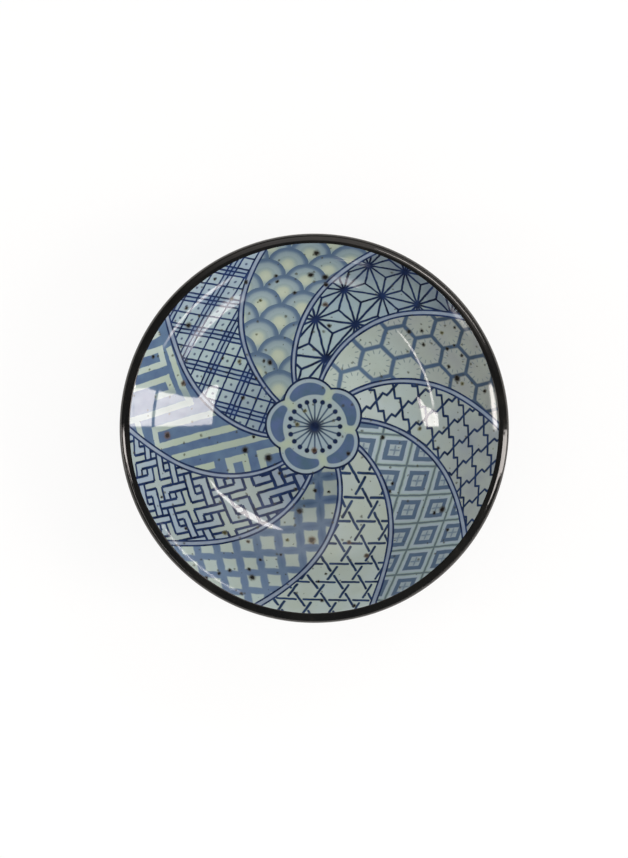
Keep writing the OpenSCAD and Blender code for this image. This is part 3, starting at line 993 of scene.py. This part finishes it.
# The dark coat: radius and height over the lip from the printed well outward, where it peaks early and falls away in
# a soft bevel; how far its round lies below the solid's, and the round's turn; where the flank under it starts and
# where the clay's own round ends; the bead it ends in over the bare foot; and where its wavering edge dies out
darkCoat = dict(
    lipTop=((45.0, 25.722), (45.1, 25.785), (45.2, 25.83), (45.3, 25.86), (45.42, 25.878), (45.55, 25.876),
            (45.7, 25.855), (45.85, 25.822), (46.0, 25.777), (46.2, 25.695), (46.4, 25.6), (46.6, 25.492),
            (46.8, 25.366), (47.0, 25.2), (47.15, 25.03), (47.28, 24.84), (47.38, 24.65), (47.45, 24.45),
            (47.485, 24.25), (47.49, 24.1)),
    drop=0.3, roundDegrees=(-6, -40), flankDegrees=44.7, seamDegrees=124.23, bead=0.12,
    beadPoints=((0.1, 1), (0.6, 0.3), (1.4, 0)), steadyRadius=45.6, waverWidth=0.6, waverHeight=25.0)


def outsideProfile():
    start, end = footSide(outerFillet, outerNormal, section["fillet"], section["bareHeight"])
    clayStart, clayEnd = footSide(outerFillet, outerNormal, clayFillet, section["bareHeight"])
    # seen from the fillet's centre: towards the centre of the underside's curve, and towards the foot's side
    upTurn, sideTurn = 90 + outerAngle, turnTowards(outerNormal)
    outer = list(darkCoat["lipTop"])
    outer += arc((lip[0], lip[1] - darkCoat["drop"]), section["lipRound"], *darkCoat["roundDegrees"], 7)
    outer += [fromBelow(section["underRadius"], d) for d in np.linspace(darkCoat["flankDegrees"], outerAngle, 26)]
    outer += arc(outerFillet, section["fillet"], upTurn, sideTurn, 12)[1:]
    outer += between(start, end, (0.35, 0.7, 0.9))
    outer += [(end[0] - darkCoat["bead"] * x, end[1] + darkCoat["bead"] * z) for x, z in darkCoat["beadPoints"]]
    inner = [clayEnd, clayStart] + arc(outerFillet, clayFillet, sideTurn, upTurn, 8)[1:]
    inner += [fromBelow(clayUnder, d) for d in np.linspace(outerAngle, 45, 10)[1:]]
    inner += arc(lip, section["lipRound"] - section["claySkin"], -45, darkCoat["seamDegrees"], 16)
    return outer[::-1] + inner[::-1]


def lipWaver(profile, angle):
    # the coat's inner edge follows the printed well's, and the shift dies out before the peak
    shift = edgeShift(angle)
    edge = section["darkEdge"] - lip[0]
    rise = math.sqrt(section["lipCurve"] ** 2 - (edge + shift) ** 2) - math.sqrt(section["lipCurve"] ** 2 - edge ** 2)
    radius, height = profile.T
    share = np.clip((darkCoat["steadyRadius"] - radius) / darkCoat["waverWidth"], 0, 1)
    share = np.where(height > darkCoat["waverHeight"], share, 0)
    return profile + share[:, None] * (shift, rise)


outside = turnedPiece("dark_lip_and_outside", outsideProfile(), iron, 288, lipWaver)
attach(outside, "root")
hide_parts("outside_glaze")


# The coat in the recess: where its flat's inner ring of points is, and its bead over the bare foot
baseCoat = dict(innerRing=1.5, beadPoints=((-0.02, 0.12), (0.1, 0)))


def baseProfile():
    start, end = footSide(innerFillet, innerNormal, section["fillet"], section["bareHeight"])
    clayStart, clayEnd = footSide(innerFillet, innerNormal, clayFillet, section["bareHeight"])
    upTurn, sideTurn = 90 + innerAngle, turnTowards(innerNormal)
    under = section["curveCentre"] - section["underRadius"]
    outer = [(0.0, under)] + [(r, under) for r in np.linspace(baseCoat["innerRing"], section["floorRadius"], 8)]
    outer += [fromBelow(section["underRadius"], d) for d in np.linspace(0, innerAngle, 9)[1:]]
    outer += arc(innerFillet, section["fillet"], upTurn, sideTurn, 12)[1:]
    outer += between(start, end, (0.4,)) + [(end[0] + x, end[1] + z) for x, z in baseCoat["beadPoints"]]
    inner = [clayEnd, clayStart] + arc(innerFillet, clayFillet, sideTurn, upTurn, 8)[1:]
    inner += [fromBelow(clayUnder, d) for d in np.linspace(innerAngle, 0, 5)[1:]]
    return outer + inner + [(0.0, under + section["claySkin"])]


base = turnedPiece("base_coat", baseProfile(), iron, 192)
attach(base, "root")
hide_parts("base_glaze")


# The bare foot, whose wiped face is uneven by a few hundredths of a millimetre
unevenFoot = 0.03


def footProfile():
    outerStart = footSide(outerFillet, outerNormal, clayFillet, 1.0)[0]
    innerStart = footSide(innerFillet, innerNormal, clayFillet, 1.0)[0]
    outerTurn, innerTurn = 180 + turnTowards(outerNormal), 180 + turnTowards(innerNormal)
    points = arc(innerFillet, clayFillet, 90 + innerAngle, turnTowards(innerNormal), 8)
    low = arc(innerEdge, section["footEdge"], innerTurn % 360, 270, 8)
    points += between(innerStart, low[0], (0.25, 0.5, 0.75)) + low
    flat = np.linspace(section["footInner"], section["footOuter"], 9)[1:-1]
    points += [(r, unevenFoot * (k % 2)) for k, r in enumerate(flat)]
    high = arc(outerEdge, section["footEdge"], -90, (outerTurn + 180) % 360 - 180, 8)
    points += high + between(high[-1], outerStart, (0.2, 0.4, 0.6, 0.8))
    points += arc(outerFillet, clayFillet, turnTowards(outerNormal), 90 + outerAngle, 8)
    return points + [fromBelow(clayUnder, d) for d in np.linspace(outerAngle, innerAngle, 6)[1:-1]]


foot = turnedPiece("bare_foot", footProfile(), clay, 224)
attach(foot, "root")
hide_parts("foot_ring")

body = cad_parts["clay_body"]
body.data.materials.clear()
body.data.materials.append(clay)
print("turned pieces:", outside.name, base.name, foot.name)


# Studio: pale floor, soft light from the right, camera straight above. The picture is 628 pixels by 858.
studio = dict(cameraHeight=1.50, lipPixels=194.8, dishPixel=(314.25, 428.25), pictureMiddle=(314, 429),
              pictureHeight=858, sensor=36, dishRadius=47.5, fill=1.0, glossFill=0.06, glow=0.85,
              floorRadius=2.5, floorCorners=48, lampColour=(1.0, 0.93, 0.885, 1.0), folds=(0.86, 1.08))


# Each lamp is a sheet of lit cloth between two lines round the dish: how bright it is, the share of it that fades
# towards its edges, and rows of one point of each line, as azimuth and elevation
lamps = dict(
    window=(11.0, 0.05, (
        (-12.5, 0.6, -0.4, 0.6), (-13.4, 5.0, -0.6, 5.0), (-14.1, 9.9, -0.6, 11.5), (-13.9, 16.2, -0.9, 18.5),
        (-14.3, 22.7, -0.9, 25.0), (-14.8, 29.1, -1.2, 31.5), (-19.7, 32.9, -1.5, 35.5), (-24.2, 39.4, -1.8, 40.5),
        (-24.6, 41.5, -1.8, 43.0), (-23.8, 43.6, -1.8, 45.4))),
    sideWindow=(13.0, 0.08, (
        (-163.2, 40.6, -163.2, 39.3), (-164.5, 40.4, -165.0, 37.9), (-168.6, 40.6, -169.2, 34.9),
        (-169.5, 40.4, -170.4, 30.6), (-171.9, 40.1, -173.2, 24.5), (-175.4, 39.7, -176.0, 24.7),
        (-179.6, 37.6, -179.6, 24.6))),
    thinStrip=(10.0, 0.2, (
        (-128.5, 20.6, -128.5, 21.6), (-138.0, 22.4, -138.0, 24.1), (-145.3, 24.1, -145.3, 25.9),
        (-152.9, 25.4, -152.9, 27.3), (-160.5, 26.2, -160.5, 28.3), (-172.5, 27.4, -172.5, 29.4))),
    backStrip=(12.5, 0.15, (
        (25.0, 32.0, 25.0, 32.8), (33.4, 32.4, 33.4, 34.6), (40.0, 34.8, 40.0, 38.0), (47.0, 35.4, 47.0, 40.4),
        (54.3, 36.8, 54.3, 42.9), (62.2, 38.2, 62.2, 42.6), (74.5, 41.0, 74.5, 42.0))),
    lowStrip=(8.6, 0.5, (
        (-24.0, 7.5, -24.0, 8.5), (-40.0, 7.4, -40.0, 8.7), (-52.0, 7.2, -52.0, 8.9), (-64.0, 6.9, -64.0, 9.3))),
    rimStrip=(15.0, 0.3, ((-165.0, 0.9, -165.0, 2.6), (-173.0, 0.9, -173.0, 3.2), (-181.5, 0.9, -181.5, 3.0))),
    farRimStrip=(11.0, 0.4, ((29.0, 2.45, 29.0, 2.9), (48.0, 2.45, 48.0, 2.95), (69.0, 2.45, 69.0, 2.9))),
    rightRim=(5.0, 0.9, ((-135.0, 1.2, -135.0, 2.9), (-143.0, 1.2, -143.0, 2.9), (-151.0, 1.2, -151.0, 2.9))),
    farPatch=(5.0, 0.6, ((-95.0, 7.3, -95.0, 8.2), (-102.5, 7.3, -102.5, 8.2), (-110.0, 7.3, -110.0, 8.2))),
    dimWall=(1.0, 0.6, ((10.0, 8.0, 10.0, 70.0), (75.0, 8.0, 75.0, 70.0), (140.0, 8.0, 140.0, 70.0)), 1.7))


def softbox(name, radiance, soft, rows, reach=1.2):
    # a sheet some metres from the dish, with eight faces between two rows and twelve across
    rows, wide = np.array(rows, float), 13
    fine = np.linspace(0, len(rows) - 1, 8 * (len(rows) - 1) + 1)
    rows = np.stack([np.interp(fine, np.arange(len(rows)), column) for column in rows.T], 1)
    across = np.linspace(0, 1, wide)
    azimuth = np.radians(rows[:, None, 0] * (1 - across) + rows[:, None, 2] * across)
    elevation = np.radians(rows[:, None, 1] * (1 - across) + rows[:, None, 3] * across)
    points = reach * np.stack([np.cos(azimuth) * np.cos(elevation), np.sin(azimuth) * np.cos(elevation),
                               np.sin(elevation)], 2).reshape(-1, 3)
    faces = [(k * wide + n, k * wide + n + 1, (k + 1) * wide + n + 1, (k + 1) * wide + n)
             for k in range(len(rows) - 1) for n in range(wide - 1)]
    material, add = newMaterial(name + " cloth, lit from behind")
    mesh = newMesh(name, points.tolist(), faces, [material])
    corners = cornerVertices(mesh)
    putMap(mesh, "place", np.stack([corners % wide / (wide - 1), corners // wide / (len(rows) - 1)], 1))
    place = add("UVMap", uv_map="place").outputs["UV"]
    folds = add("TexNoise", place, inputs={"Scale": 4.5, "Detail": 1.0})
    strength = add("MapRange", folds, 0.3, 0.7, *studio["folds"])
    for share in add("SeparateXYZ", place).outputs[:2]:
        edge = add("Math ABSOLUTE", add("Math SUBTRACT", share, 0.5))
        strength = add("Math MULTIPLY", strength, add("MapRange SMOOTHSTEP", edge, 0.5 - soft / 2, 0.5, 1.0, 0.0))
    strength = add("Math MULTIPLY", strength, radiance)
    add("OutputMaterial", add("Emission", studio["lampColour"], strength))
    placed(name, mesh)


def buildFloor():
    # paper that a camera sees nearly white; one under it looks through it at the dish's underside
    material, add = newMaterial("pale paper sweep")
    fromCamera = add("LightPath").outputs["Is Camera Ray"]
    seen = add("Math MULTIPLY", fromCamera, studio["glow"])
    surface = add("MixShader", seen, add("BsdfDiffuse", "#f4f3f0"), add("Emission", (1, 1, 1, 1), 1.0))
    below = add("Math MULTIPLY", fromCamera, add("NewGeometry").outputs["Backfacing"])
    add("OutputMaterial", add("MixShader", below, surface, add("BsdfTransparent")))
    turns = [2 * math.pi * k / studio["floorCorners"] for k in range(studio["floorCorners"])]
    rim = [(studio["floorRadius"] * math.cos(t), studio["floorRadius"] * math.sin(t), 0) for t in turns]
    placed("floor", newMesh("floor", rim, [range(len(rim))], [material]))


def buildWorld():
    # even light on the object, little of it in reflections, and white behind
    world = bpy.data.worlds.new("studio")
    bpy.context.scene.world = world
    world.use_nodes = True
    world.node_tree.nodes.clear()
    add = functools.partial(addNode, world.node_tree)
    path = add("LightPath")
    fill = add("Mix FLOAT", path.outputs["Is Glossy Ray"], studio["fill"], studio["glossFill"])
    strength = add("Mix FLOAT", path.outputs["Is Camera Ray"], fill, 1.0)
    add("OutputWorld", add("Background", (1, 1, 1, 1), strength))


def buildCamera():
    # the lens makes the lip's radius as many pixels as in the photograph, on a sensor as long as the picture is high
    camera = bpy.data.cameras.new("camera")
    cameraObject = placed("camera", camera)
    bpy.context.scene.camera = cameraObject
    drop = studio["cameraHeight"] - section["lipHeight"] * millimetre
    metresPerPixel = studio["dishRadius"] * millimetre / studio["lipPixels"]
    camera.sensor_width = studio["sensor"]
    camera.lens = studio["sensor"] * drop / (studio["pictureHeight"] * metresPerPixel)
    camera.clip_start, camera.clip_end = 0.01, 20
    (dishX, dishY), (middleX, middleY) = studio["dishPixel"], studio["pictureMiddle"]
    cameraObject.location = ((middleX - dishX) * metresPerPixel, (dishY - middleY) * metresPerPixel,
                             studio["cameraHeight"])


buildFloor()
buildWorld()
for name, lamp in lamps.items():
    softbox(name, *lamp)
buildCamera()
bpy.context.scene.view_settings.view_transform = "Standard"
print("studio:", len(lamps), "lamps")
